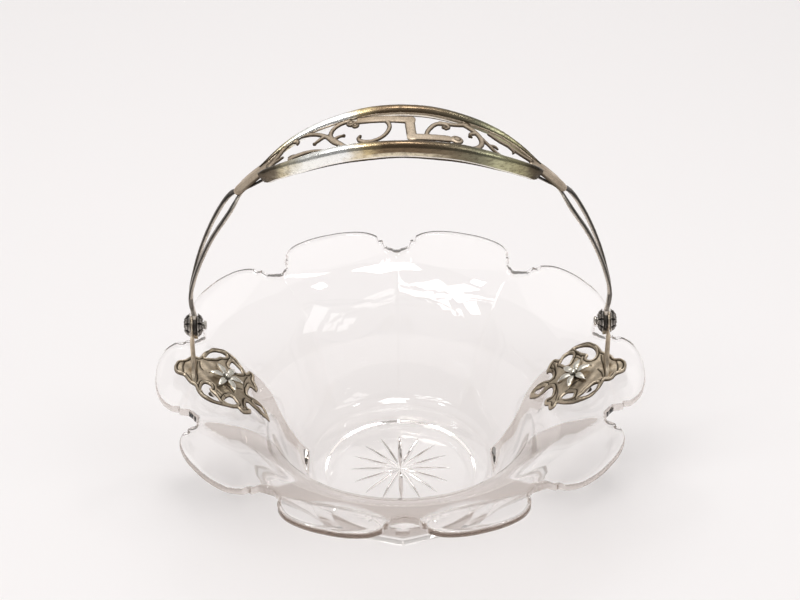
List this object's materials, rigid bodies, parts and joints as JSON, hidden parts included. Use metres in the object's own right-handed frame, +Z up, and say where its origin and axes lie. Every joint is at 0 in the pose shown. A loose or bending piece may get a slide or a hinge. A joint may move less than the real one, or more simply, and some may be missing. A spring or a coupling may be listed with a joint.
{
  "type": "jardiniere",
  "caption": "Clear glass jardiniere with a scalloped, panelled bowl and a hinged metal bail whose pierced scroll grip stands over it.",
  "frame": {"origin": "centre of the underside of the foot, at the height the bowl stands on", "axes": "+Z up; X along the pivot axis of the bail through both brackets; -Y towards the viewer of the picture"},
  "size_m": [0.242, 0.2362, 0.218],
  "materials": {
    "clear_glass": "clear pressed and cut glass, polished",
    "taupe_silver": "aged plated metal, matte taupe with darker recesses",
    "polished_silver": "worn plate, polished with a warm tone",
    "dark_silver": "darkened plate, satin",
    "soft_washer": "matte, compressed"
  },
  "bodies": {
    "root": {"glass_bowl": "clear_glass", "bracket_right": "taupe_silver", "bracket_left": "taupe_silver", "flower_screw_right": "taupe_silver", "flower_screw_left": "taupe_silver", "inner_soft_washer_right": "soft_washer", "inner_soft_washer_left": "soft_washer", "outer_soft_washer_right": "soft_washer", "outer_soft_washer_left": "soft_washer", "metal_washer_right": "dark_silver", "metal_washer_left": "dark_silver", "nut_right": "dark_silver", "nut_left": "dark_silver", "pivot_pin_right": "dark_silver", "pivot_pin_left": "dark_silver", "inner_rosette_right": "dark_silver", "inner_rosette_left": "dark_silver", "outer_rosette_right": "dark_silver", "outer_rosette_left": "dark_silver"},
    "bail": {"strap_arm_right": "dark_silver", "strap_arm_left": "dark_silver", "grip_panel": "taupe_silver", "front_rail": "polished_silver", "back_rail": "polished_silver"}
  },
  "joints": [
    {"name": "bail", "type": "hinge", "parent": "root", "child": "bail", "pos_m": [0, 0, 0.1012], "axis": [1, 0, 0], "range_deg": [-95, 95]}
  ]
}
